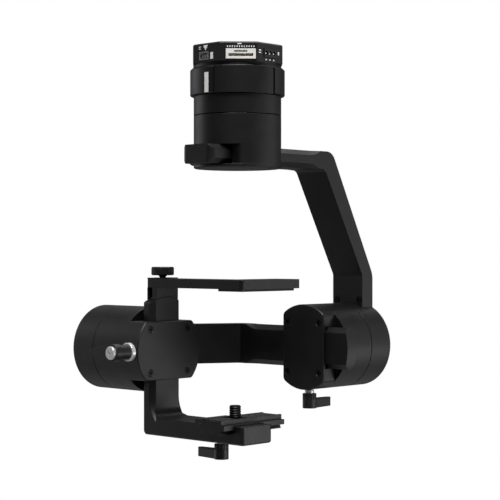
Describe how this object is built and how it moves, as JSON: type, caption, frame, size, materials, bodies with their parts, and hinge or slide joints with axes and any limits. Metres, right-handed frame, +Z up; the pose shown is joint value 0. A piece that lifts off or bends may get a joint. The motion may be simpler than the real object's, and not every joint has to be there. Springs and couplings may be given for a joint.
{
  "type": "camera gimbal",
  "caption": "Hanging three-axis camera gimbal with direct-drive yaw, roll and tilt motors, swept arms and a clamped camera cage.",
  "frame": {"origin": "centre of the top mounting face, on the yaw axis", "axes": "+Z up along the yaw axis, camera looks along -Y, +X is the gimbal's left"},
  "size_m": [0.1391, 0.1414, 0.2217],
  "materials": {
    "anodised": "satin black anodised",
    "lever_black": "matte black moulding",
    "black_screw": "black oxide",
    "bright_steel": "bright machined",
    "header_white": "white",
    "contact_gold": "gold plated",
    "port_grey": "tinned shell",
    "socket_black": "black",
    "board": "solder mask",
    "lamination": "laminated",
    "copper": "enamelled wire",
    "magnet": "nickel plated",
    "pad_rubber": "ribbed"
  },
  "bodies": {
    "base": {"connector_block": "anodised", "header_body": "header_white", "header_pins": "contact_gold", "aux_port": "port_grey", "power_socket": "socket_black", "status_led": "header_white", "controller_board": "board", "slip_ring": "socket_black", "yaw_stator_housing": "anodised", "yaw_stator_core": "lamination", "yaw_windings": "copper", "yaw_bearings": "bright_steel"},
    "collar": {"release_collar": "anodised", "collar_index": "header_white"},
    "yaw_rotor": {"yaw_rotor_housing": "anodised", "yaw_magnet_ring": "magnet", "yaw_shaft": "bright_steel", "yaw_clamp_plate": "anodised", "yaw_plate_screws": "black_screw"},
    "yaw_lever": {"yaw_clamp_lever": "lever_black"},
    "yaw_arm": {"yaw_arm": "anodised", "yaw_arm_screws": "black_screw", "roll_stator_housing": "anodised", "roll_stator_core": "lamination", "roll_windings": "copper", "roll_bearings": "bright_steel", "roll_rear_cover": "anodised", "roll_cover_screws": "black_screw"},
    "roll_rotor": {"roll_rotor_housing": "anodised", "roll_magnet_ring": "magnet", "roll_shaft": "bright_steel", "roll_clamp_plate": "anodised", "roll_plate_screws": "black_screw"},
    "roll_lever": {"roll_clamp_lever": "lever_black"},
    "roll_arm": {"roll_arm": "anodised", "roll_arm_screws": "black_screw", "tilt_stator_housing": "anodised", "tilt_stator_core": "lamination", "tilt_windings": "copper", "tilt_bearings": "bright_steel", "tilt_rear_cover": "anodised", "tilt_cover_screws": "black_screw"},
    "tilt_rotor": {"tilt_rotor_housing": "anodised", "tilt_magnet_ring": "magnet", "tilt_shaft": "bright_steel", "tilt_clamp_plate": "anodised", "tilt_plate_screws": "black_screw"},
    "tilt_lever": {"tilt_clamp_lever": "lever_black", "tilt_clamp_screw": "bright_steel", "tilt_clamp_washer": "bright_steel"},
    "cage": {"cage_bracket": "anodised", "qr_jaw": "anodised"},
    "support": {"top_post": "anodised", "top_bar": "anodised", "top_pad": "pad_rubber"},
    "knob": {"thumb_knob": "lever_black"},
    "plate": {"qr_plate": "anodised", "qr_pads": "pad_rubber"},
    "camera_screw": {"camera_screw": "black_screw"},
    "qr_lever": {"qr_clamp_lever": "lever_black"}
  },
  "joints": [
    {"name": "yaw_turn", "type": "hinge", "parent": "base", "child": "yaw_rotor", "pos_m": [0, 0, -0.045], "axis": [0, 0, 1], "continuous": true},
    {"name": "collar_turn", "type": "hinge", "parent": "base", "child": "collar", "pos_m": [0, 0, -0.0192], "axis": [0, 0, 1], "range_deg": [0, 30]},
    {"name": "yaw_arm_balance", "type": "slide", "parent": "yaw_rotor", "child": "yaw_arm", "axis": [0, 1, 0], "range_m": [-0.012, 0.012]},
    {"name": "yaw_lever_turn", "type": "hinge", "parent": "yaw_rotor", "child": "yaw_lever", "pos_m": [-0.0234, 0, -0.0583], "axis": [-1, 0, 0], "range_deg": [-90, 90]},
    {"name": "roll_turn", "type": "hinge", "parent": "yaw_arm", "child": "roll_rotor", "pos_m": [0, 0.07, -0.1629], "axis": [0, 1, 0], "range_deg": [-45, 45]},
    {"name": "roll_arm_balance", "type": "slide", "parent": "roll_rotor", "child": "roll_arm", "axis": [1, 0, 0], "range_m": [-0.01, 0.01]},
    {"name": "roll_lever_turn", "type": "hinge", "parent": "roll_rotor", "child": "roll_lever", "pos_m": [0, 0.0584, -0.1869], "axis": [0, 0, -1], "range_deg": [-90, 90]},
    {"name": "tilt_turn", "type": "hinge", "parent": "roll_arm", "child": "tilt_rotor", "pos_m": [-0.08, 0, -0.1645], "axis": [1, 0, 0], "range_deg": [-25, 45]},
    {"name": "cage_height", "type": "slide", "parent": "tilt_rotor", "child": "cage", "axis": [0, 0, 1], "range_m": [-0.006, 0.006]},
    {"name": "tilt_lever_turn", "type": "hinge", "parent": "tilt_rotor", "child": "tilt_lever", "pos_m": [-0.0585, -0.0241, -0.1645], "axis": [0, -1, 0], "range_deg": [-90, 90]},
    {"name": "support_height", "type": "slide", "parent": "cage", "child": "support", "axis": [0, 0, 1], "range_m": [0, 0.008]},
    {"name": "knob_turn", "type": "hinge", "parent": "support", "child": "knob", "pos_m": [-0.0584, 0, -0.12], "axis": [0, 0, 1], "continuous": true},
    {"name": "plate_balance", "type": "slide", "parent": "cage", "child": "plate", "axis": [0, 1, 0], "range_m": [-0.008, 0.008]},
    {"name": "camera_screw_turn", "type": "hinge", "parent": "plate", "child": "camera_screw", "pos_m": [0, -0.0018, -0.2], "axis": [0, 0, 1], "continuous": true},
    {"name": "qr_lever_turn", "type": "hinge", "parent": "cage", "child": "qr_lever", "pos_m": [-0.0135, 0.0015, -0.2112], "axis": [0, 0, -1], "range_deg": [-90, 90]}
  ]
}
